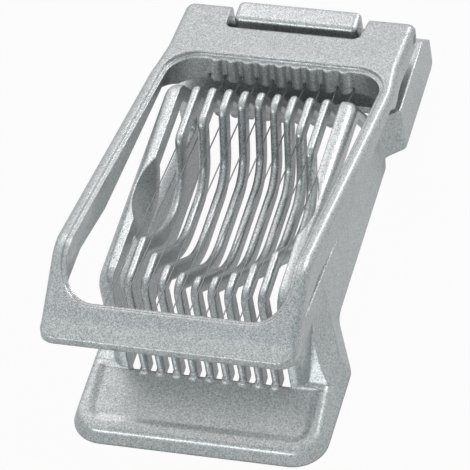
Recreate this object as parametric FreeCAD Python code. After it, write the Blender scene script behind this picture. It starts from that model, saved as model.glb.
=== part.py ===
"""Hand-operated egg slicer: a cast base with a ribbed egg hollow and a hinged wire frame."""
import FreeCAD, Part
import math
import os

V = FreeCAD.Vector
X_AXIS = V(1, 0, 0)

# Cutting wires and the slots that they pass through
wire_count = 10
wire_pitch = 5.0
wire_dia = 0.4
wire_slot = 0.9
ferrule_dia = 2.0
ferrule_length = 3.5
ferrule_clearance = 0.2
ferrule_end_room = 0.5
anchor_wall = 2.6

# Cradle of the base: nine ribs between two cheeks
rib_thick = 2.4
rib_depth = 4.6
rib_edge_round = 1.1
rib_front_round = 4.2
rib_rear_round = 3.4
end_slot_extra = 0.8
cheek_thick = 5.0
cheek_wall = 3.0
cheek_rim_depth = 15.0
cheek_round = 3.6
cheek_corner_round = 6.0
cradle_top = 45.5
cradle_length = 79.5
cradle_rear_run = 15.0
rib_toe = 4.0
foot_lap = 1.5
foot_round = 1.1

# Opening through each cheek, between its rail and the low part of the wall
rail_depth = 5.5
scoop_wall = 1.6
window_front = 6.6
window_front_sill = 30.0
window_rear_sill = 15.0
window_rear_top = 1.6
window_rear_foot = 1.0
window_round = 3.0

# Egg hollow: a ramp, a floor and a steep rear in every rib; the insets and the rise are at the cheeks
hollow_depth = 21.9
hollow_front_land = 6.0
hollow_rear_land = 4.9
hollow_front_slope = 0.9
hollow_rear_slope = 2.75
hollow_front_round = 22.0
hollow_rear_round = 9.0
hollow_front_inset = 19.4
hollow_rear_inset = 25.4
hollow_rise = 8.8
hollow_scoop = 2.9

# Front lip that the hand holds down
lip_length = 23.3
lip_overhang = 9.0
lip_draft = 3.0
lip_level = 8.0
lip_front_height = 4.2
lip_corner = 10.0
lip_wall = 2.8
lip_edge_round = 2.0
lip_rim_width = 2.0
dish_run = 2.0
dish_depth = 0.5
flare_start = 14.0
flare_length = 20.0
flare_height = 14.9
flare_toe = 2.0
flare_lean = 12.9
flare_sag = 0.9
flare_convex = 8.0
flare_concave = 16.0
flare_tail = 9.0

# Hinge head at the rear
head_overhang = 6.0
head_floor_top = 22.0
head_wall = 2.5
head_bottom = 5.5
head_corner = 5.0
head_blend_round = 2.5
heel_crest = 9.0
heel_rear = 19.5
heel_height = 12.0
heel_toe = 15.0
heel_round = 5.0
block_half_width = 19.3
block_front = 3.6
block_rear = 4.6
block_top = 5.9
block_round = 1.8
wall_rear_lean = 4.0

# Hinge axis, measured from the ribs' rear end and the top of the head, and its pins
hinge_setback = 20.5
hinge_rise = 9.5
pin_dia = 4.0
pin_grip = 9.0
pin_recess = 0.6
pin_clearance = 0.05
pin_end_room = 1.0
pin_chamfer = 0.4

# Slicing frame, in its own frame: hinge axis at the origin, wires along Y
frame_rest_tilt = 9.4
opening_side_gap = 3.4
arm_width = 4.8
ear_inset = 1.6
ear_length = 18.0
ear_flare = 14.0
ear_flare_round = 20.0
ear_rear = 5.0
ear_corner = 4.0
ear_round = 4.4
frame_top = 4.4
frame_bottom = -5.0
notch_front = 7.8
notch_clearance = 1.6
notch_flare = 1.5
notch_corner = 2.5
opening_rear = 22.0
bar_standoff = 19.6
opening_corner = 9.5
rim_step = 1.3
rim_drop = 1.4
rear_bar_run = 10.0
arm_start = 30.0
arm_start_round = 40.0
crown_setback = 12.6
arm_crown_height = 14.2
crown_round = 12.0
arm_underside = 1.0
arm_underside_start = 36.0
arm_cutout_setback = 43.6
arm_cutout_run = 23.0
arm_cutout_height = 4.6
arm_cutout_end = 2.0
arm_toe = 0.8
bar_slope_run = 5.0
bar_slope_foot = -0.3
bar_slope_round = 8.0
bar_width = 10.0
bar_lip_height = -3.2
bar_bottom = -5.4
frame_corner = 5.0
frame_edge_round = 2.8
wire_level = -3.6
comb_bump = 1.9
comb_bump_out = 1.1
comb_height = 8.0

# Widths worked out from the sizes above
half_span = (wire_count - 1) / 2 * wire_pitch
cheek_inner = half_span + (wire_pitch - rib_thick) / 2 + end_slot_extra
cradle_half = cheek_inner + cheek_thick
wall_inner = cradle_half - cheek_wall
hollow_half_width = cheek_inner + hollow_scoop
lip_half_width = cradle_half + lip_overhang
head_half_width = cradle_half + head_overhang
opening_half_width = cradle_half + opening_side_gap
frame_half_width = opening_half_width + arm_width
ear_half_width = frame_half_width - ear_inset

# Places along the base; the origin is on the floor, under the wall at the lip's rear edge
cradle_front = lip_wall / 2
cradle_rear = cradle_front + cradle_length
lip_front = cradle_front - lip_length
slope_foot_y = cradle_rear + cradle_rear_run
rib_end_y = slope_foot_y + rib_toe
hinge_y = rib_end_y + hinge_setback
hinge_height = head_floor_top + hinge_rise
head_rear = hinge_y + heel_rear
head_floor_bottom = head_floor_top - head_wall
cradle_middle = (cradle_front + cradle_rear) / 2

# Places along the frame, measured forward from the hinge
opening_front = hinge_y - cradle_front + bar_standoff
arm_crown = opening_front - crown_setback
arm_cutout_start = opening_front - arm_cutout_setback
bar_slope_end = opening_front + bar_slope_run
frame_front = opening_front + bar_width

# Lengths that only help the making: past the whole object, past one face, joined parts, touching
big = 400.0
overrun = 5.0
joint_lap = 1.0
touch = 0.001


def box(x0, x1, y0, y1, z0, z1):
    """Block between two corners."""
    return Part.makeBox(x1 - x0, y1 - y0, z1 - z0, V(x0, y0, z0))


def side_face(points, x=0.0):
    """Flat face in a plane of constant X from (y, z) corners."""
    corners = [V(x, y, z) for y, z in points]
    return Part.Face(Part.makePolygon(corners + corners[:1]))


def side_prism(points, x0, x1):
    """Solid with a (y, z) outline, from x0 to x1."""
    return side_face(points, x0).extrude(V(x1 - x0, 0, 0))


def plan_prism(wire, z0, z1):
    """Upright solid on a plan outline."""
    face = Part.Face(wire)
    face.translate(V(0, 0, z0))
    return face.extrude(V(0, 0, z1 - z0))


def rounded_outline(points, radii, plane):
    """Closed outline whose corners are arcs; plane turns a corner into a point in space."""
    count = len(points)
    edges = []
    ends = []
    for i in range(count):
        corner = plane(*points[i])
        before = plane(*points[i - 1]) - corner
        after = plane(*points[(i + 1) % count]) - corner
        before.normalize()
        after.normalize()
        if radii[i] <= 0:
            ends.append((corner, corner, None))
            continue
        half = before.getAngle(after) / 2
        reach = radii[i] / math.tan(half)
        middle = before + after
        middle.normalize()
        centre = corner + middle * (radii[i] / math.sin(half))
        ends.append((corner + before * reach, corner + after * reach, centre - middle * radii[i]))
    for i in range(count):
        start, finish, mid = ends[i]
        if mid is not None:
            edges.append(Part.Arc(start, mid, finish).toShape())
        following = ends[(i + 1) % count][0]
        if finish.distanceToPoint(following) > 1e-6:
            edges.append(Part.makeLine(finish, following))
    return Part.Wire(edges)


def in_plan(x, y):
    """Point on the floor plane."""
    return V(x, y, 0)


def at_side(y, z):
    """Point on the middle plane."""
    return V(0, y, z)


def mirror_join(solid):
    """The solid and its mirror image across the middle plane, as a list."""
    return [solid, solid.mirror(V(0, 0, 0), X_AXIS)]


def round_edges(solid, radius, wanted):
    """Fillet of the edges that pass the test."""
    return solid.makeFillet(radius, [edge for edge in solid.Edges if wanted(edge)])


def along_x(edge):
    """True for a straight edge across the object."""
    size = edge.BoundBox
    return size.YLength < touch and size.ZLength < touch


def on_crest(edge):
    """True for an edge across the flat top of a rib."""
    return along_x(edge) and edge.BoundBox.ZMin > cradle_top - touch


def rib_places():
    """X of each rib's middle plane."""
    return [(i - (wire_count - 2) / 2) * wire_pitch for i in range(wire_count - 1)]


def wire_places():
    """X of each wire."""
    return [i * wire_pitch - half_span for i in range(wire_count)]


def hollow_size(x):
    """Front edge, rear edge and depth of the hollow at a distance from the middle plane."""
    share = (x / cheek_inner) ** 2
    front = cradle_front + hollow_front_land + hollow_front_inset * share
    rear = cradle_rear - hollow_rear_land - hollow_rear_inset * share
    return front, rear, hollow_depth - hollow_rise * share


def hollow_section(x, grow):
    """Face of the hollow where a rib crosses it, made larger by grow."""
    front, rear, depth = hollow_size(x)
    front -= grow * math.hypot(1, 1 / hollow_front_slope)
    rear += grow * math.hypot(1, 1 / hollow_rear_slope)
    depth += grow
    outline = rounded_outline(
        [(front - overrun / hollow_front_slope, cradle_top + overrun),
         (front + depth / hollow_front_slope, cradle_top - depth),
         (rear - depth / hollow_rear_slope, cradle_top - depth),
         (rear + overrun / hollow_rear_slope, cradle_top + overrun)],
        [0, hollow_front_round + grow, hollow_rear_round + grow, 0], at_side)
    return Part.Face(outline)


def rib(x):
    """One rib: a front leg, the dip of the hollow and a slope down to the head."""
    front = cradle_front - foot_lap
    leg_back = cradle_front + rib_depth
    end_y = rib_end_y + foot_lap
    under_top = cradle_top - rib_depth
    slope = (cradle_top - head_floor_top) / cradle_rear_run
    under_run = (under_top - head_floor_bottom) / slope
    under_end = slope_foot_y - rib_depth / 2
    foot = lip_level - lip_wall
    outline = side_face([(cradle_front, foot), (cradle_front, cradle_top), (cradle_rear, cradle_top),
                         (slope_foot_y, head_floor_top), (end_y, head_floor_top),
                         (end_y, head_floor_bottom)])
    space = side_face([(leg_back, 0), (leg_back, under_top), (under_end - under_run, under_top),
                       (under_end, head_floor_bottom), (under_end, 0)])
    space = space.cut(hollow_section(x, rib_depth))
    bar = outline.cut(space).cut(hollow_section(x, 0)).Faces[0].extrude(V(rib_thick, 0, 0))
    bar = round_edges(bar, rib_front_round,
                      lambda edge: on_crest(edge) and edge.CenterOfMass.y < cradle_middle)
    bar = round_edges(bar, rib_rear_round,
                      lambda edge: on_crest(edge) and edge.CenterOfMass.y > cradle_middle)
    under = space.extrude(V(rib_thick, 0, 0))
    bar = round_edges(bar, rib_edge_round,
                      lambda edge: edge.BoundBox.XLength < touch
                      and edge.BoundBox.ZMax > lip_level
                      and edge.BoundBox.YMin < rib_end_y - joint_lap
                      and edge.CenterOfMass.y < rib_end_y
                      and under.distToShape(Part.Vertex(edge.valueAt(
                          (edge.FirstParameter + edge.LastParameter) / 2)))[0] > touch)
    foot_block = box(0, rib_thick, front, leg_back, foot, lip_level)
    foot_block = round_edges(foot_block, foot_round,
                             lambda edge: edge.BoundBox.YMax < front + touch
                             and edge.CenterOfMass.z > foot + touch)
    bar = bar.fuse(foot_block)
    bar.translate(V(x - rib_thick / 2, 0, 0))
    return bar


def cheek():
    """Right side wall of the cradle, thick at its rim and scooped by the hollow."""
    end_y = rib_end_y + foot_lap
    outline = rounded_outline(
        [(cradle_front, 0), (cradle_front, cradle_top), (cradle_rear, cradle_top),
         (slope_foot_y, head_floor_top), (end_y, head_floor_top), (end_y, head_floor_bottom),
         (rib_end_y - wall_rear_lean, 0)],
        [0, cheek_corner_round, cheek_corner_round, 0, 0, 0, 0], at_side)
    wall = Part.Face(outline).extrude(V(cheek_thick, 0, 0))
    wall.translate(V(cheek_inner, 0, 0))
    wall = round_edges(wall, cheek_round,
                       lambda edge: edge.BoundBox.XMin > cradle_half - touch
                       and (edge.CenterOfMass.z > head_floor_top
                            or edge.BoundBox.YMax < cradle_front + touch))
    wall = wall.cut(box(cheek_inner - overrun, wall_inner, cradle_front + cheek_wall, big,
                        -overrun, cradle_top - cheek_rim_depth))
    return wall.cut(window()).cut(scoop(0))


def window():
    """Opening through the right cheek; it stops short of the scoop."""
    front = cradle_front + window_front
    top = cradle_top - rail_depth
    outline = rounded_outline(
        [(front, window_front_sill), (front, top), (cradle_rear - window_rear_top, top),
         (slope_foot_y - window_rear_foot, window_rear_sill)], [window_round] * 4, at_side)
    hole = Part.Face(outline).extrude(V(2 * cradle_half, 0, 0))
    return hole.cut(scoop(scoop_wall))


def scoop(grow):
    """Ellipsoid that takes the hollow on into the cheeks' inner faces, made larger by grow."""
    front, rear, depth = hollow_size(cheek_inner)
    share = math.sqrt(1 - (cheek_inner / hollow_half_width) ** 2)
    stretch = FreeCAD.Matrix()
    stretch.scale(hollow_half_width + grow, (rear - front) / 2 / share + grow, depth / share + grow)
    egg = Part.makeSphere(1).transformGeometry(stretch)
    egg.translate(V(0, (front + rear) / 2, cradle_top))
    return egg


def lip_outline(inset):
    """Plan outline of the lip and its flare into the cradle, drawn in by inset."""
    wide = lip_half_width - inset
    narrow = cradle_half - inset
    front = lip_front + inset
    flare_y = cradle_front + flare_start
    waist_y = flare_y + flare_length
    tail_y = waist_y + flare_tail
    corner = lip_corner - inset
    return rounded_outline(
        [(-wide, front), (wide, front), (wide, flare_y), (narrow, waist_y), (narrow, tail_y),
         (-narrow, tail_y), (-narrow, waist_y), (-wide, flare_y)],
        [corner, corner, flare_convex, flare_concave, 0, 0, flare_concave, flare_convex], in_plan)


def lip_slab(inset, drop):
    """Lip body with drafted sides under its sloping top, drawn in by inset and lowered by drop."""
    slope = (lip_level - lip_front_height) / lip_length
    ahead = lip_front - overrun
    under = side_prism([(ahead, -overrun), (ahead, lip_front_height - overrun * slope),
                        (cradle_front, lip_level), (cradle_rear, lip_level),
                        (cradle_rear, -overrun)], -big, big)
    upper = lip_outline(inset + lip_draft)
    upper.translate(V(0, 0, lip_level))
    slab = Part.makeLoft([lip_outline(inset), upper], True, True).common(under)
    slab.translate(V(0, 0, -drop))
    return slab


def lip_rim(slab):
    """Edges round the outside of the lip's top."""
    edges = []
    for face in slab.Faces:
        if face.normalAt(0, 0).z > 0.9:
            edges += [edge for edge in face.Edges
                      if not along_x(edge) or edge.BoundBox.YMax < lip_front + lip_corner]
    return edges


def lip():
    """Front lip: a sloping plate with a rim turned down to the floor, and the side flares."""
    slab = lip_slab(0, 0)
    slab = slab.makeFillet(lip_edge_round, lip_rim(slab)).cut(lip_dish())
    core = box(-cradle_half, cradle_half, cradle_front - lip_wall, big, -lip_level, lip_level)
    slab = slab.cut(lip_slab(lip_wall, lip_wall).cut(core))
    slab = slab.multiFuse(mirror_join(flare()))
    inside = box(-wall_inner, wall_inner, cradle_front + cheek_wall, big, -overrun, big)
    slots = box(-cheek_inner, cheek_inner, cradle_front, big, -overrun, big)
    return slab.cut(inside).cut(slots)


def lip_dish():
    """Sunk field in the lip's top, sloping up to the rim at the front and the sides."""
    rim = lip_draft + lip_rim_width
    lower = lip_outline(rim + dish_run)
    lower.translate(V(0, 0, lip_level - dish_depth))
    upper = lip_outline(rim - dish_run / 2)
    upper.translate(V(0, 0, lip_level + dish_depth / 2))
    field = Part.makeLoft([lower, upper], True, True)
    tilt = math.atan2(lip_level - lip_front_height, lip_length)
    field.rotate(V(0, cradle_front, lip_level), X_AXIS, math.degrees(tilt))
    return field.common(box(-big, big, -big, cradle_front, 0, big))


def flare():
    """Buttress that spreads from the right cheek's side down to the edge of the lip."""
    foot = lip_half_width - lip_draft
    top = lip_level + flare_height
    base = lip_level - joint_lap
    inner = cradle_half - joint_lap
    waist_y = cradle_front + flare_start + flare_length
    ridge_middle = V((foot + cradle_half) / 2 - flare_sag, 0, lip_level + flare_height / 2 - flare_sag / 2)
    ridge = Part.Arc(V(foot, 0, lip_level), ridge_middle, V(cradle_half, 0, top)).toShape()
    rest = Part.makePolygon([V(cradle_half, 0, top), V(inner, 0, top), V(inner, 0, base),
                             V(foot, 0, base), V(foot, 0, lip_level)])
    body = Part.Face(Part.Wire([ridge] + rest.Edges)).extrude(V(0, 2 * big, 0))
    body.translate(V(0, -big, 0))
    side = side_prism([(cradle_front + flare_toe, base), (cradle_front + flare_toe, lip_level),
                       (cradle_front + flare_lean, top), (waist_y, top), (waist_y, base)], 0, big)
    return body.common(side).common(plan_prism(lip_outline(lip_draft), 0, big))


def head_outline(inset):
    """Plan outline of the hinge head and its blend into the cradle, drawn in by inset."""
    wide = head_half_width - inset
    narrow = cradle_half - inset
    blend = rib_end_y - head_corner
    rear = head_rear - inset
    return rounded_outline(
        [(-narrow, blend - head_corner), (narrow, blend - head_corner), (narrow, blend), (wide, rib_end_y),
         (wide, rear), (-wide, rear), (-wide, rib_end_y), (-narrow, blend)],
        [0, 0, head_corner, head_blend_round, head_corner, head_corner, head_blend_round, head_corner],
        in_plan)


def head_block(inset):
    """Body of the hinge head with its sloping heel, drawn in by inset on all sides but the bottom."""
    top = head_floor_top - inset
    bottom = head_bottom - inset
    front = rib_end_y - 2 * head_corner
    side = rounded_outline(
        [(front, bottom), (front, top), (hinge_y + heel_crest - inset / 2, top),
         (head_rear - inset, heel_height), (hinge_y + heel_toe - inset, bottom)],
        [0, 0, heel_round, heel_round, heel_round - inset], at_side)
    body = Part.Face(side).extrude(V(2 * big, 0, 0))
    body.translate(V(-big, 0, 0))
    return body.common(plan_prism(head_outline(inset), 0, big))


def head():
    """Hinge head: a box open below, carrying the bored hinge block."""
    shell = head_block(0).cut(head_block(head_wall))
    shell = shell.cut(box(-wall_inner, wall_inner, -big, rib_end_y, 0, big))
    return shell.fuse(hinge_block())


def hinge_block():
    """Block that stands in the frame's notch, bored from both ends for the pins."""
    block = box(-block_half_width, block_half_width, hinge_y - block_front, hinge_y + block_rear,
                head_floor_bottom, hinge_height + block_top)
    block = round_edges(block, block_round, lambda edge: edge.CenterOfMass.z > head_floor_top)
    bore_end = block_half_width - pin_grip - pin_end_room
    for side in (1, -1):
        bore = Part.makeCylinder(pin_dia / 2 + pin_clearance, big,
                                 V(side * bore_end, hinge_y, hinge_height), V(side, 0, 0))
        block = block.cut(bore)
    return block


def base_casting():
    """The whole base as one casting."""
    parts = mirror_join(cheek()) + [rib(x) for x in rib_places()] + [head()]
    return lip().multiFuse(parts).removeSplitter()


def frame_profile():
    """Side outline of the frame: ears, rear bar, rising arms and sloping front bar."""
    return rounded_outline(
        [(ear_rear, frame_top), (-arm_start, frame_top), (-arm_crown, arm_crown_height),
         (-bar_slope_end, bar_slope_foot), (-frame_front, bar_lip_height), (-frame_front, bar_bottom),
         (-opening_front + arm_toe, bar_bottom), (-opening_front + 2 * arm_toe, arm_cutout_end),
         (-arm_cutout_start - arm_cutout_run, arm_cutout_height), (-arm_cutout_start, arm_underside),
         (-arm_underside_start, arm_underside), (-arm_underside_start + rear_bar_run, frame_bottom),
         (ear_rear, frame_bottom)],
        [ear_round, arm_start_round, crown_round, bar_slope_round, 0, 0, 0, 0, 0, 0, 0, 0, ear_round],
        at_side)


def frame_outline(front_round, rear_round):
    """Plan outline of the frame, with the radii of its front corners and of its ears' corners."""
    flare_y = -ear_length
    return rounded_outline(
        [(-ear_half_width, ear_rear), (ear_half_width, ear_rear), (ear_half_width, flare_y),
         (frame_half_width, flare_y - ear_flare), (frame_half_width, -frame_front),
         (-frame_half_width, -frame_front), (-frame_half_width, flare_y - ear_flare),
         (-ear_half_width, flare_y)],
        [rear_round, rear_round, ear_flare_round, ear_flare_round, front_round, front_round,
         ear_flare_round, ear_flare_round], in_plan)


def opening_outline(grow):
    """Plan outline of the frame's opening, made larger by grow."""
    wide = opening_half_width + grow
    rear = -opening_rear + grow
    front = -opening_front - grow
    corner = opening_corner + grow
    return rounded_outline([(-wide, front), (wide, front), (wide, rear), (-wide, rear)],
                           [corner] * 4, in_plan)


def frame_body():
    """Frame casting before its wire anchors are cut, with rounded upper edges."""
    profile = Part.Face(frame_profile()).extrude(V(2 * big, 0, 0))
    profile.translate(V(-big, 0, 0))
    frame = plan_prism(frame_outline(0, 0), -big / 2, big / 2).common(profile)
    frame = round_edges(frame, frame_edge_round, on_arm_top)
    frame = frame.common(plan_prism(frame_outline(frame_corner, ear_corner), -big / 2, big / 2))
    step = plan_prism(opening_outline(rim_step), -big / 2, big / 2)
    lowered = profile.copy()
    lowered.translate(V(0, 0, -rim_drop))
    frame = frame.cut(step.cut(lowered))
    return frame.cut(plan_prism(opening_outline(0), -big / 2, big / 2))


def on_arm_top(edge):
    """True for a long upper edge on either side of the frame; the rounding runs on from it."""
    size = edge.BoundBox
    return size.YLength > arm_start and size.ZMin > frame_top - touch


def anchor_cuts():
    """Slots and pockets under both bars: one of each for every wire end."""
    cuts = []
    half = wire_slot / 2
    room = ferrule_dia / 2 + ferrule_clearance
    length = ferrule_length + ferrule_end_room
    for x in wire_places():
        for wall_y, outward in ((-opening_rear, 1), (-opening_front, -1)):
            ends = sorted([wall_y - overrun * outward, wall_y + anchor_wall * outward])
            cuts.append(box(x - half, x + half, ends[0], ends[1], -big / 2, wire_level + half))
            ends = sorted([wall_y + anchor_wall * outward, wall_y + (anchor_wall + length) * outward])
            cuts.append(box(x - room, x + room, ends[0], ends[1], -big / 2, wire_level + room))
    return cuts


def comb():
    """Row of upright bumps on the rear bar's inner wall, one between each two wires."""
    bumps = []
    for x in rib_places():
        bumps.append(Part.makeCylinder(comb_bump, comb_height,
                                       V(x, -opening_rear - comb_bump_out + comb_bump, frame_bottom)))
    return bumps


def slicing_frame():
    """The frame casting, with its notch, pin bores, comb and wire anchors."""
    frame = frame_body().multiFuse(comb())
    wide = block_half_width + notch_clearance
    past = ear_rear + overrun
    notch = rounded_outline([(-wide, -notch_front), (wide, -notch_front),
                             (wide + notch_flare, past), (-wide - notch_flare, past)],
                            [notch_corner, notch_corner, 0, 0], in_plan)
    frame = frame.cut(plan_prism(notch, -big / 2, big / 2))
    bore = Part.makeCylinder(pin_dia / 2, 2 * big, V(-big, 0, 0), X_AXIS)
    return frame.cut([bore] + anchor_cuts()).removeSplitter()


def hinge_pin(side):
    """Steel pin pressed into one ear and turning in the block; side is 1 or -1."""
    inner = block_half_width - pin_grip
    length = ear_half_width - pin_recess - inner
    pin = Part.makeCylinder(pin_dia / 2, length, V(inner, 0, 0), X_AXIS)
    pin = pin.makeChamfer(pin_chamfer, [edge for edge in pin.Edges if edge.Closed])
    return pin if side > 0 else pin.mirror(V(0, 0, 0), X_AXIS)


def ferrule_span(wall_y, outward):
    """Near and far end of a ferrule that bears on an anchor wall."""
    near = wall_y + anchor_wall * outward
    return near, near + ferrule_length * outward


def ferrules(wall_y, outward):
    """Crimped sleeves on one end of every wire."""
    near, far = ferrule_span(wall_y, outward)
    row = []
    for x in wire_places():
        start = V(x, min(near, far), wire_level)
        sleeve = Part.makeCylinder(ferrule_dia / 2, ferrule_length, start, V(0, 1, 0))
        row.append(sleeve.cut(Part.makeCylinder(wire_dia / 2, ferrule_length, start, V(0, 1, 0))))
    return Part.makeCompound(row)


def cutting_wire(x):
    """One straight wire, from the far end of its front ferrule to that of its rear ferrule."""
    rear = ferrule_span(-opening_rear, 1)[1]
    front = ferrule_span(-opening_front, -1)[1]
    return Part.makeCylinder(wire_dia / 2, rear - front, V(x, front, wire_level), V(0, 1, 0))


def place_on_hinge(shape):
    """Moves a piece of the frame from its own frame to where it stands at rest."""
    placed = shape.copy()
    placed.rotate(V(0, 0, 0), X_AXIS, -frame_rest_tilt)
    placed.translate(V(0, hinge_y, hinge_height))
    return placed


def main():
    """Builds every piece and writes one file for each."""
    pieces = {"base_casting": base_casting()}
    pieces["slicing_frame"] = place_on_hinge(slicing_frame())
    pieces["hinge_pin_right"] = place_on_hinge(hinge_pin(1))
    pieces["hinge_pin_left"] = place_on_hinge(hinge_pin(-1))
    pieces["rear_wire_ferrules"] = place_on_hinge(ferrules(-opening_rear, 1))
    pieces["front_wire_ferrules"] = place_on_hinge(ferrules(-opening_front, -1))
    for number, x in enumerate(wire_places(), 1):
        pieces["cutting_wire_%02d" % number] = place_on_hinge(cutting_wire(x))
    os.makedirs("parts", exist_ok=True)
    for name, shape in pieces.items():
        shape.exportStep("parts/%s.step" % name)
        size = shape.BoundBox
        print(name, shape.isValid(), len(shape.Solids), round(shape.Volume, 1),
              [round(v, 1) for v in (size.XMin, size.YMin, size.ZMin, size.XMax, size.YMax, size.ZMax)])


main()
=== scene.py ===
"""Looks of a hand egg slicer: two sparkle-lacquered castings, steel cutting wires, pins and sleeves."""
import logging
import math
from dataclasses import dataclass, field
from enum import Enum
from typing import Any

import bmesh
import bpy
from mathutils import Matrix, Vector


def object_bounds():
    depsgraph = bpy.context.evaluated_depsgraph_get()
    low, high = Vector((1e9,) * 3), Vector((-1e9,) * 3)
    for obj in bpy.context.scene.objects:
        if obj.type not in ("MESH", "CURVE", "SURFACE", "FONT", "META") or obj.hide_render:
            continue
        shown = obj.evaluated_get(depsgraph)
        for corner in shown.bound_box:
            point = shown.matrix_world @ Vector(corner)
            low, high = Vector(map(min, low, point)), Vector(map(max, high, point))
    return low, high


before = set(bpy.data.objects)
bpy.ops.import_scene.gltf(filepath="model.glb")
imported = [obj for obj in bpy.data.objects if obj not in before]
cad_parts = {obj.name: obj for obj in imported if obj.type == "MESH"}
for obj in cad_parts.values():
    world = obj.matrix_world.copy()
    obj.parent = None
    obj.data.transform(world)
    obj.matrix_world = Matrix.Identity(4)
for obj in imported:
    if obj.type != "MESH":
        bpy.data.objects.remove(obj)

LOG = logging.getLogger("egg_slicer")
CAD_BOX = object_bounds()
IMAGE_SIDE = 470
REST_TILT = math.radians(9.4)
Colour = tuple[float, float, float]
Triple = tuple[float, float, float]
Pair = tuple[float, float]
Range = tuple[float, float]
WHOLE: Range = (0.0, 1.0)
NOISE_CORE: Range = (0.3, 0.7)
WHITE: Colour = (1.0, 1.0, 1.0)


class Socket(Enum):
    """Kinds of socket on a shader node group."""

    VALUE = "NodeSocketFloat"
    VECTOR = "NodeSocketVector"


@dataclass
class Graph:
    """A node tree under construction, with short calls for its nodes and links."""

    tree: bpy.types.NodeTree

    def node(self, kind: str, **settings: Any) -> bpy.types.Node:
        """Adds one node.

        Args:
            kind: The node's Blender type name.
            settings: Properties of the node, by name.

        Returns:
            The new node.
        """
        made = self.tree.nodes.new(kind)
        for name, value in settings.items():
            setattr(made, name, value)
        return made

    def feed(self, target: bpy.types.NodeSocket, source: Any) -> None:
        """Links a socket to a source, or sets it where the source is a plain value.

        Args:
            target: The input socket.
            source: An output socket, a number or a tuple.
        """
        if isinstance(source, bpy.types.NodeSocket):
            self.tree.links.new(source, target)
        else:
            target.default_value = source

    def math(self, operation: str, first: Any, second: Any = 0.0,
             clamp: bool = False) -> bpy.types.NodeSocket:
        """Adds a Math node.

        Args:
            operation: Blender's name of the operation.
            first: First operand, a socket or a number.
            second: Second operand, a socket or a number.
            clamp: Whether the result is held between 0 and 1.

        Returns:
            The result's socket.
        """
        made = self.node("ShaderNodeMath", operation=operation, use_clamp=clamp)
        self.feed(made.inputs[0], first)
        self.feed(made.inputs[1], second)
        return made.outputs[0]

    def span(self, value: Any, old: Range, new: Range) -> bpy.types.NodeSocket:
        """Maps a value from one range to another, held at its ends.

        Args:
            value: The value's socket.
            old: Range that comes in.
            new: Range that goes out.

        Returns:
            The mapped value's socket.
        """
        made = self.node("ShaderNodeMapRange", clamp=True)
        self.feed(made.inputs["Value"], value)
        for name, number in zip(("From Min", "From Max", "To Min", "To Max"), old + new):
            made.inputs[name].default_value = number
        return made.outputs["Result"]

    def mix(self, share: Any, first: Any, second: Any, blend: str = "MIX") -> bpy.types.NodeSocket:
        """Mixes two colours.

        Args:
            share: How much of the second colour, a socket or a number.
            first: First colour, a socket or four numbers.
            second: Second colour, a socket or four numbers.
            blend: Blender's name of the way they are mixed.

        Returns:
            The mixed colour's socket.
        """
        made = self.node("ShaderNodeMix", data_type="RGBA", blend_type=blend)
        self.feed(made.inputs["Factor"], share)
        self.feed(made.inputs["A"], first)
        self.feed(made.inputs["B"], second)
        return made.outputs["Result"]

    def noise(self, place: Any, scale: float, detail: float = 2.0) -> bpy.types.NodeSocket:
        """Adds a noise texture.

        Args:
            place: Socket of the coordinates.
            scale: Waves per metre.
            detail: Octaves of finer waves.

        Returns:
            The noise value's socket.
        """
        made = self.node("ShaderNodeTexNoise")
        self.feed(made.inputs["Vector"], place)
        made.inputs["Scale"].default_value = scale
        made.inputs["Detail"].default_value = detail
        return made.outputs["Fac"]


def new_group(name: str, inputs: dict[str, Socket], outputs: dict[str, Socket]) -> tuple[Graph, Any, Any]:
    """Starts a shader node group.

    Args:
        name: The group's name.
        inputs: Its input sockets by name.
        outputs: Its output sockets by name.

    Returns:
        The group's graph, its input node's outputs and its output node's inputs.
    """
    tree = bpy.data.node_groups.new(name, "ShaderNodeTree")
    for label, kind in inputs.items():
        tree.interface.new_socket(label, in_out="INPUT", socket_type=kind.value)
    for label, kind in outputs.items():
        tree.interface.new_socket(label, in_out="OUTPUT", socket_type=kind.value)
    graph = Graph(tree)
    return graph, graph.node("NodeGroupInput").outputs, graph.node("NodeGroupOutput").inputs


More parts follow.
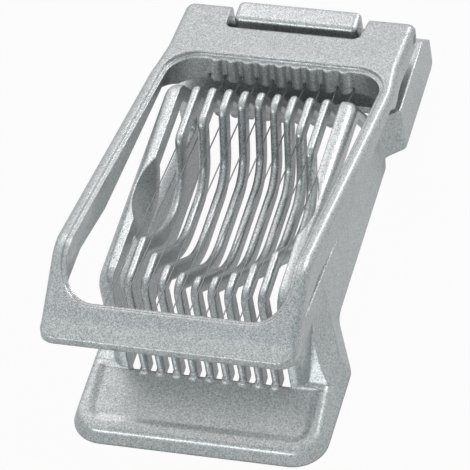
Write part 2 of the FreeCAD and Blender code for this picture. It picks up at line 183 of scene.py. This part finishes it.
class Effects:
    """Shader node groups that more than one finish uses, each built once.

    Waves are counted per metre, the edge's radius is in metres and shares are parts of one.
    """

    flakes_per_metre: Pair = (5000.0, 2400.0)
    mean_draw: float = 0.5
    coarse_share: float = 0.2
    glint_draws: Range = (0.93, 0.97)
    slow_waves: float = 45.0
    slow_tones: Range = (0.96, 1.04)
    peel_waves: float = 420.0
    grit_waves: float = 1900.0
    grit_share: float = 0.35
    edge_radius: float = 0.0011
    edge_samples: int = 12
    edge_bend: Range = (0.01, 0.16)
    # Patches along the edges where a painted highlight lightens the colour.
    edge_highlight_waves: float = 260.0
    edge_highlight_core: Range = (0.35, 0.6)
    edge_highlight_shares: Range = (0.25, 1.0)
    smudge_waves: float = 90.0
    smudge_core: Range = (0.4, 0.7)
    scuff_turn: Triple = (0.2, 0.3, 0.9)
    scuff_waves: Triple = (1500.0, 60.0, 400.0)
    scuff_core: Range = (0.66, 0.74)

    def __init__(self) -> None:
        """Builds every group."""
        self.flakes = self._flakes()
        self.skin = self._skin()
        self.edges = self._edges()
        self.marks = self._marks()

    def _flakes(self) -> bpy.types.NodeTree:
        """Metal flakes in lacquer: a random tone for each flake and a few bright glints.

        Returns:
            The group's tree.
        """
        graph, given, made = new_group(
            "metal_flakes", {"Place": Socket.VECTOR, "Contrast": Socket.VALUE},
            {"Tone": Socket.VALUE, "Glint": Socket.VALUE, "Height": Socket.VALUE})
        tones = []
        for flakes in self.flakes_per_metre:
            cells = graph.node("ShaderNodeTexVoronoi", feature="F1")
            graph.feed(cells.inputs["Vector"], given["Place"])
            cells.inputs["Scale"].default_value = flakes
            parts = graph.node("ShaderNodeSeparateColor")
            graph.feed(parts.inputs[0], cells.outputs["Color"])
            tones.append(parts.outputs)
        fine = graph.math("SUBTRACT", tones[0][0], self.mean_draw)
        coarse = graph.math("SUBTRACT", tones[1][1], self.mean_draw)
        both = graph.math("ADD", fine, graph.math("MULTIPLY", coarse, self.coarse_share))
        graph.feed(made["Tone"], graph.math("ADD", graph.math("MULTIPLY", both, given["Contrast"]), 1.0))
        graph.feed(made["Glint"], graph.span(tones[0][2], self.glint_draws, WHOLE))
        graph.feed(made["Height"], both)
        return graph.tree

    def _skin(self) -> bpy.types.NodeTree:
        """Skin of a casting: slow changes of tone, and orange peel with fine grit as height.

        Returns:
            The group's tree.
        """
        graph, given, made = new_group(
            "casting_skin", {"Place": Socket.VECTOR}, {"Tone": Socket.VALUE, "Height": Socket.VALUE})
        slow = graph.noise(given["Place"], self.slow_waves)
        peel = graph.noise(given["Place"], self.peel_waves, detail=1.0)
        grit = graph.noise(given["Place"], self.grit_waves)
        graph.feed(made["Tone"], graph.span(slow, NOISE_CORE, self.slow_tones))
        graph.feed(made["Height"], graph.math("ADD", peel, graph.math("MULTIPLY", grit, self.grit_share)))
        return graph.tree

    def _edges(self) -> bpy.types.NodeTree:
        """Soft cast edges: a rounded normal, and a patchy mask of the edges that carries a painted highlight
        and a smoother gloss.

        Returns:
            The group's tree.
        """
        graph, given, made = new_group(
            "soft_edges", {"Place": Socket.VECTOR}, {"Mask": Socket.VALUE, "Normal": Socket.VECTOR})
        soft = graph.node("ShaderNodeBevel", samples=self.edge_samples)
        soft.inputs["Radius"].default_value = self.edge_radius
        true = graph.node("ShaderNodeNewGeometry")
        agree = graph.node("ShaderNodeVectorMath", operation="DOT_PRODUCT")
        graph.feed(agree.inputs[0], soft.outputs["Normal"])
        graph.feed(agree.inputs[1], true.outputs["Normal"])
        apart = graph.math("SUBTRACT", 1.0, agree.outputs["Value"])
        bend = graph.span(apart, self.edge_bend, WHOLE)
        # Noise that breaks the painted edge highlight into patches.
        highlight_patches = graph.noise(given["Place"], self.edge_highlight_waves, detail=3.0)
        patchy = graph.span(highlight_patches, self.edge_highlight_core, self.edge_highlight_shares)
        graph.feed(made["Mask"], graph.math("MULTIPLY", bend, patchy))
        graph.feed(made["Normal"], soft.outputs["Normal"])
        return graph.tree

    def _marks(self) -> bpy.types.NodeTree:
        """Handling marks: soft smudges and thin scuffs that change the gloss.

        Returns:
            The group's tree.
        """
        graph, given, made = new_group(
            "handling_marks", {"Place": Socket.VECTOR}, {"Smudge": Socket.VALUE, "Scuff": Socket.VALUE})
        clouds = graph.noise(given["Place"], self.smudge_waves, detail=4.0)
        smudge = graph.span(clouds, self.smudge_core, WHOLE)
        streak = graph.node("ShaderNodeMapping")
        graph.feed(streak.inputs["Vector"], given["Place"])
        streak.inputs["Rotation"].default_value = self.scuff_turn
        streak.inputs["Scale"].default_value = self.scuff_waves
        scuff = graph.span(graph.noise(streak.outputs["Vector"], 1.0), self.scuff_core, WHOLE)
        graph.feed(made["Smudge"], smudge)
        graph.feed(made["Scuff"], scuff)
        return graph.tree


def new_material(name: str) -> tuple[bpy.types.Material, Graph, bpy.types.Node, bpy.types.NodeSocket]:
    """Starts a material on one Principled shader.

    Args:
        name: The material's name.

    Returns:
        The material, its graph, its Principled node and the socket of its Object coordinates.
    """
    material = bpy.data.materials.new(name)
    material.use_nodes = True
    graph = Graph(material.node_tree)
    shader = material.node_tree.nodes["Principled BSDF"]
    place = graph.node("ShaderNodeTexCoord").outputs["Object"]
    return material, graph, shader, place


def place_group(graph: Graph, tree: bpy.types.NodeTree, place: Any, **values: float) -> Any:
    """Places a node group in a material.

    Args:
        graph: The material's graph.
        tree: The group's tree.
        place: Socket of the coordinates that it reads.
        values: Its other inputs by name.

    Returns:
        The group node's outputs.
    """
    made = graph.node("ShaderNodeGroup")
    made.node_tree = tree
    graph.feed(made.inputs["Place"], place)
    for name, value in values.items():
        made.inputs[name].default_value = value
    return made.outputs


@dataclass(frozen=True)
class SparkleLacquer:
    """Silver lacquer with metal flakes on a casting."""

    name: str
    colour: Colour
    # Pale colour painted on the edges as a highlight.
    edge_highlight: Colour
    flake_contrast: float
    roughness: float = 0.3
    metallic: float = 0.86
    coat: float = 0.8
    coat_roughness: float = 0.07
    peel_depth: float = 0.000012
    flake_depth: float = 0.00001
    glint: Colour = (0.9, 0.92, 0.94)
    glint_share: float = 0.35
    edge_highlight_share: float = 0.2
    rub_shines: float = 0.08
    smudge_dulls: float = 0.06
    scuff_dulls: float = 0.08

    def build(self, effects: Effects) -> bpy.types.Material:
        """Makes the material.

        Args:
            effects: The shared node groups.

        Returns:
            The finished material.
        """
        material, graph, shader, place = new_material(self.name)
        flakes = place_group(graph, effects.flakes, place, Contrast=self.flake_contrast)
        skin = place_group(graph, effects.skin, place)
        edges = place_group(graph, effects.edges, place)
        marks = place_group(graph, effects.marks, place)
        tone = graph.math("MULTIPLY", flakes["Tone"], skin["Tone"])
        flat = graph.mix(1.0, (*self.colour, 1.0), tone, "MULTIPLY")
        glints = graph.math("MULTIPLY", flakes["Glint"], self.glint_share)
        glinting = graph.mix(glints, flat, (*self.glint, 1.0))
        # Painted highlight: the edges are lightened towards the pale edge colour along the edge mask.
        highlight_patches = graph.math("MULTIPLY", edges["Mask"], self.edge_highlight_share)
        edge_highlight = graph.mix(highlight_patches, glinting, (*self.edge_highlight, 1.0))
        graph.feed(shader.inputs["Base Color"], edge_highlight)
        shader.inputs["Metallic"].default_value = self.metallic
        gloss = graph.math("ADD", self.roughness, graph.math("MULTIPLY", marks["Smudge"], self.smudge_dulls))
        gloss = graph.math("ADD", gloss, graph.math("MULTIPLY", marks["Scuff"], self.scuff_dulls))
        shine = graph.math("MULTIPLY", edges["Mask"], self.rub_shines)
        gloss = graph.math("SUBTRACT", gloss, shine, clamp=True)
        graph.feed(shader.inputs["Roughness"], gloss)
        shader.inputs["Coat Weight"].default_value = self.coat
        shader.inputs["Coat Roughness"].default_value = self.coat_roughness
        normal = edges["Normal"]
        for height, depth in ((skin["Height"], self.peel_depth), (flakes["Height"], self.flake_depth)):
            bump = graph.node("ShaderNodeBump")
            bump.inputs["Strength"].default_value = 1.0
            bump.inputs["Distance"].default_value = depth
            graph.feed(bump.inputs["Height"], height)
            graph.feed(bump.inputs["Normal"], normal)
            normal = bump.outputs["Normal"]
        graph.feed(shader.inputs["Normal"], normal)
        return material


@dataclass(frozen=True)
class BareSteel:
    """Bare steel with lines left by its making."""

    name: str
    colour: Colour
    line_waves: Triple
    tilt: float = 0.0
    roughness: float = 0.28
    line_depth: float = 0.00001
    line_tones: Range = (0.85, 1.12)
    line_dulls: Range = (-0.05, 0.07)
    smudge_dulls: float = 0.08

    def build(self, effects: Effects) -> bpy.types.Material:
        """Makes the material.

        Args:
            effects: The shared node groups.

        Returns:
            The finished material.
        """
        material, graph, shader, place = new_material(self.name)
        turned = graph.node("ShaderNodeMapping")
        graph.feed(turned.inputs["Vector"], place)
        turned.inputs["Rotation"].default_value = (self.tilt, 0.0, 0.0)
        turned.inputs["Scale"].default_value = self.line_waves
        lines = graph.noise(turned.outputs["Vector"], 1.0, detail=3.0)
        marks = place_group(graph, effects.marks, place)
        tone = graph.span(lines, NOISE_CORE, self.line_tones)
        graph.feed(shader.inputs["Base Color"], graph.mix(1.0, (*self.colour, 1.0), tone, "MULTIPLY"))
        shader.inputs["Metallic"].default_value = 1.0
        low, high = (self.roughness + step for step in self.line_dulls)
        lined = graph.span(lines, NOISE_CORE, (low, high))
        smudges = graph.math("MULTIPLY", marks["Smudge"], self.smudge_dulls)
        graph.feed(shader.inputs["Roughness"], graph.math("ADD", lined, smudges))
        bump = graph.node("ShaderNodeBump")
        bump.inputs["Distance"].default_value = self.line_depth
        graph.feed(bump.inputs["Height"], lines)
        graph.feed(shader.inputs["Normal"], bump.outputs["Normal"])
        return material


@dataclass
class CastBase:
    """The base: lip, ribbed cradle and hinge head in one casting."""

    nodes: tuple[str, ...] = ("base_casting",)
    # The pale edge colour is a painted highlight.
    finish: SparkleLacquer = SparkleLacquer(
        "base_sparkle_lacquer", colour=(0.6, 0.622, 0.628), edge_highlight=(0.74, 0.76, 0.77), flake_contrast=0.92)

    def dress(self, parts: dict[str, bpy.types.Object], effects: Effects) -> None:
        """Gives the casting its lacquer."""
        cover(parts, self.nodes, self.finish.build(effects))


@dataclass
class WireFrame:
    """The hinged frame with its strung wires and their sleeves."""

    wires: int = 10
    casting: tuple[str, ...] = ("slicing_frame",)
    sleeves: tuple[str, ...] = ("rear_wire_ferrules", "front_wire_ferrules")
    # The pale edge colour is a painted highlight.
    lacquer: SparkleLacquer = SparkleLacquer(
        "frame_sparkle_lacquer", colour=(0.555, 0.575, 0.58), edge_highlight=(0.74, 0.76, 0.77), flake_contrast=0.92)
    drawn: BareSteel = BareSteel(
        "drawn_wire_steel", colour=(0.3, 0.31, 0.32), line_waves=(9000.0, 60.0, 9000.0), tilt=REST_TILT)
    crimped: BareSteel = BareSteel(
        "crimped_sleeve_steel", colour=(0.42, 0.42, 0.43), line_waves=(300.0, 2600.0, 300.0), tilt=REST_TILT,
        roughness=0.38)

    def dress(self, parts: dict[str, bpy.types.Object], effects: Effects) -> None:
        """Gives the casting its lacquer, and the wires and sleeves their steel.

        Args:
            parts: The carried-over pieces by name.
            effects: The shared node groups.
        """
        cover(parts, self.casting, self.lacquer.build(effects))
        strung = tuple(f"cutting_wire_{number:02d}" for number in range(1, self.wires + 1))
        cover(parts, strung, self.drawn.build(effects))
        cover(parts, self.sleeves, self.crimped.build(effects))


@dataclass
class HingePins:
    """The two pins that carry the frame."""

    nodes: tuple[str, ...] = ("hinge_pin_left", "hinge_pin_right")
    finish: BareSteel = BareSteel(
        "turned_pin_steel", colour=(0.38, 0.38, 0.39), line_waves=(5200.0, 120.0, 120.0), roughness=0.32)

    def dress(self, parts: dict[str, bpy.types.Object], effects: Effects) -> None:
        """Gives the pins their turned steel."""
        cover(parts, self.nodes, self.finish.build(effects))


def cover(parts: dict[str, bpy.types.Object], names: tuple[str, ...], material: bpy.types.Material) -> None:
    """Puts a material in every slot of some pieces.

    Args:
        parts: The carried-over pieces by name.
        names: Which of them.
        material: The material.
    """
    for name in names:
        for slot in parts[name].material_slots:
            slot.material = material
        LOG.info("%s wears %s", name, material.name)


@dataclass
class Camera:
    """The camera, by the angles and distances that were fitted to the view."""

    azimuth: float = math.radians(22.79)
    elevation: float = math.radians(47.48)
    roll: float = math.radians(-10.90)
    distance: float = 1.371
    pixels_per_metre: float = 3430.0
    target: Vector = field(default_factory=lambda: Vector((0.0, 0.0014, 0.008)))
    target_pixel: Pair = (209.52, 376.56)
    near_clip: float = 0.05
    far_clip: float = 30.0

    def build(self) -> bpy.types.Object:
        """Makes the camera and sets it as the scene's.

        Returns:
            The camera's object.
        """
        back = Vector((math.sin(self.azimuth) * math.cos(self.elevation),
                       -math.cos(self.azimuth) * math.cos(self.elevation), math.sin(self.elevation)))
        level = Vector((math.cos(self.azimuth), math.sin(self.azimuth), 0.0))
        upright = back.cross(level)
        right = math.cos(self.roll) * level + math.sin(self.roll) * upright
        up = -math.sin(self.roll) * level + math.cos(self.roll) * upright
        across = (self.target_pixel[0] - IMAGE_SIDE / 2) / self.pixels_per_metre
        above = (IMAGE_SIDE / 2 - self.target_pixel[1]) / self.pixels_per_metre
        centre = self.target - across * right - above * up + self.distance * back
        lens = bpy.data.cameras.new("photo_camera")
        lens.lens = self.pixels_per_metre * self.distance * lens.sensor_width / IMAGE_SIDE
        lens.clip_start = self.near_clip
        lens.clip_end = self.far_clip
        camera = bpy.data.objects.new("photo_camera", lens)
        bpy.context.scene.collection.objects.link(camera)
        turn = Matrix((right, up, back)).transposed()
        camera.matrix_world = Matrix.Translation(centre) @ turn.to_4x4()
        bpy.context.scene.camera = camera
        return camera


@dataclass(frozen=True)
class Lamp:
    """One area lamp, aimed at the middle of the object."""

    name: str
    place: Triple
    sides: Pair
    watts: float
    colour: Colour = WHITE

    def build(self, aim: Vector) -> None:
        """Makes the lamp.

        Args:
            aim: The point that it shines at.
        """
        light = bpy.data.lights.new(self.name, "AREA")
        light.shape = "RECTANGLE"
        light.size, light.size_y = self.sides
        light.energy = self.watts
        light.color = self.colour
        lamp = bpy.data.objects.new(self.name, light)
        lamp.location = self.place
        lamp.rotation_mode = "QUATERNION"
        lamp.rotation_quaternion = (aim - lamp.location).to_track_quat("-Z", "Y")
        bpy.context.scene.collection.objects.link(lamp)


@dataclass
class Studio:
    """Pale floor, pale surroundings, one soft box and three narrow strips of light."""

    floor_radius: float = 4.0
    floor_segments: int = 96
    floor_waves: float = 3.0
    floor_tones: Range = (0.99, 1.0)
    floor_roughness: float = 0.9
    floor_gloss: float = 0.1
    floor_colour: Colour = (0.87, 0.9, 0.905)
    floor_white: float = 0.95
    floor_mirrored: float = 0.28
    near_colour: Colour = (1.0, 0.995, 0.99)
    far_colour: Colour = (0.91, 0.985, 1.0)
    dome_light: float = 0.4
    dome_axis: Triple = (-0.25, 0.65, 0.72)
    dome_spread: Range = (0.2, 1.0)
    dome_far: float = 0.6
    dome_near: float = 1.02
    lamps: tuple[Lamp, ...] = (
        Lamp("key_box", place=(-0.4, 0.6, 0.8), sides=(0.4, 0.35), watts=0.5, colour=(1.0, 0.99, 0.98)),
        Lamp("front_strip", place=(-0.32, -1.0, 0.58), sides=(0.8, 0.08), watts=2.2),
        Lamp("side_strip", place=(0.58, 0.74, 0.72), sides=(0.1, 0.5), watts=1.8),
        Lamp("rear_strip", place=(0.34, 1.15, 0.4), sides=(0.12, 0.3), watts=0.7),
    )

    def build(self) -> None:
        """Makes the floor, the surroundings and the lamps."""
        self._floor()
        self._dome()
        low, high = CAD_BOX
        for lamp in self.lamps:
            lamp.build((low + high) / 2)

    def _shown(self, graph: Graph, straight: float, mirrored: float) -> bpy.types.NodeSocket:
        """Share of white that a ray sees in the background.

        Args:
            graph: The graph that the nodes go in.
            straight: Share for the camera's rays and rays through glass.
            mirrored: Share for rays that metal mirrors.

        Returns:
            The share's socket.
        """
        rays = graph.node("ShaderNodeLightPath").outputs
        direct = graph.math("ADD", rays["Is Camera Ray"], rays["Is Transmission Ray"], clamp=True)
        glossy = graph.math("MULTIPLY", rays["Is Glossy Ray"], mirrored)
        return graph.math("ADD", graph.math("MULTIPLY", direct, straight), glossy, clamp=True)

    def _floor(self) -> None:
        """Makes a round floor that keeps a soft shadow."""
        mesh = bpy.data.meshes.new("floor")
        shape = bmesh.new()
        bmesh.ops.create_circle(shape, cap_ends=True, segments=self.floor_segments, radius=self.floor_radius)
        shape.to_mesh(mesh)
        shape.free()
        floor = bpy.data.objects.new("floor", mesh)
        bpy.context.scene.collection.objects.link(floor)
        material, graph, shader, place = new_material("pale_floor")
        tone = graph.span(graph.noise(place, self.floor_waves), NOISE_CORE, self.floor_tones)
        graph.feed(shader.inputs["Base Color"], graph.mix(1.0, (*self.floor_colour, 1.0), tone, "MULTIPLY"))
        shader.inputs["Roughness"].default_value = self.floor_roughness
        shader.inputs["Specular IOR Level"].default_value = self.floor_gloss
        white = graph.node("ShaderNodeEmission")
        blend = graph.node("ShaderNodeMixShader")
        graph.feed(blend.inputs["Fac"], self._shown(graph, self.floor_white, self.floor_mirrored))
        graph.feed(blend.inputs[1], shader.outputs["BSDF"])
        graph.feed(blend.inputs[2], white.outputs["Emission"])
        graph.feed(graph.tree.nodes["Material Output"].inputs["Surface"], blend.outputs["Shader"])
        mesh.materials.append(material)

    def _dome(self) -> None:
        """Makes the surroundings: white where they are seen, and a soft light that fades from its axis."""
        world = bpy.data.worlds.new("studio")
        world.use_nodes = True
        graph = Graph(world.node_tree)
        world.node_tree.nodes.clear()
        toward = graph.node("ShaderNodeVectorMath", operation="DOT_PRODUCT")
        graph.feed(toward.inputs[0], graph.node("ShaderNodeTexCoord").outputs["Generated"])
        toward.inputs[1].default_value = self.dome_axis
        near = graph.span(toward.outputs["Value"], self.dome_spread, WHOLE)
        fade = graph.span(near, WHOLE, (self.dome_far, self.dome_near))
        mirrored = graph.node("ShaderNodeLightPath").outputs["Is Glossy Ray"]
        level = graph.math("ADD", graph.math("MULTIPLY", mirrored, 1.0 - self.dome_light), self.dome_light)
        soft = graph.node("ShaderNodeBackground")
        graph.feed(soft.inputs["Color"], graph.mix(near, (*self.far_colour, 1.0), (*self.near_colour, 1.0)))
        graph.feed(soft.inputs["Strength"], graph.math("MULTIPLY", fade, level))
        white = graph.node("ShaderNodeBackground")
        white.inputs["Color"].default_value = (*WHITE, 1.0)
        blend = graph.node("ShaderNodeMixShader")
        graph.feed(blend.inputs["Fac"], self._shown(graph, 1.0, 0.0))
        graph.feed(blend.inputs[1], soft.outputs["Background"])
        graph.feed(blend.inputs[2], white.outputs["Background"])
        graph.feed(graph.node("ShaderNodeOutputWorld").inputs["Surface"], blend.outputs["Shader"])
        bpy.context.scene.world = world


def main() -> None:
    """Builds the studio and dresses every piece."""
    logging.basicConfig(level=logging.INFO)
    bpy.context.scene.view_settings.view_transform = "Standard"
    Camera().build()
    Studio().build()
    effects = Effects()
    for assembly in (CastBase(), WireFrame(), HingePins()):
        assembly.dress(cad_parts, effects)
        LOG.info("dressed %s", type(assembly).__name__)


if __name__ == "__main__":
    main()
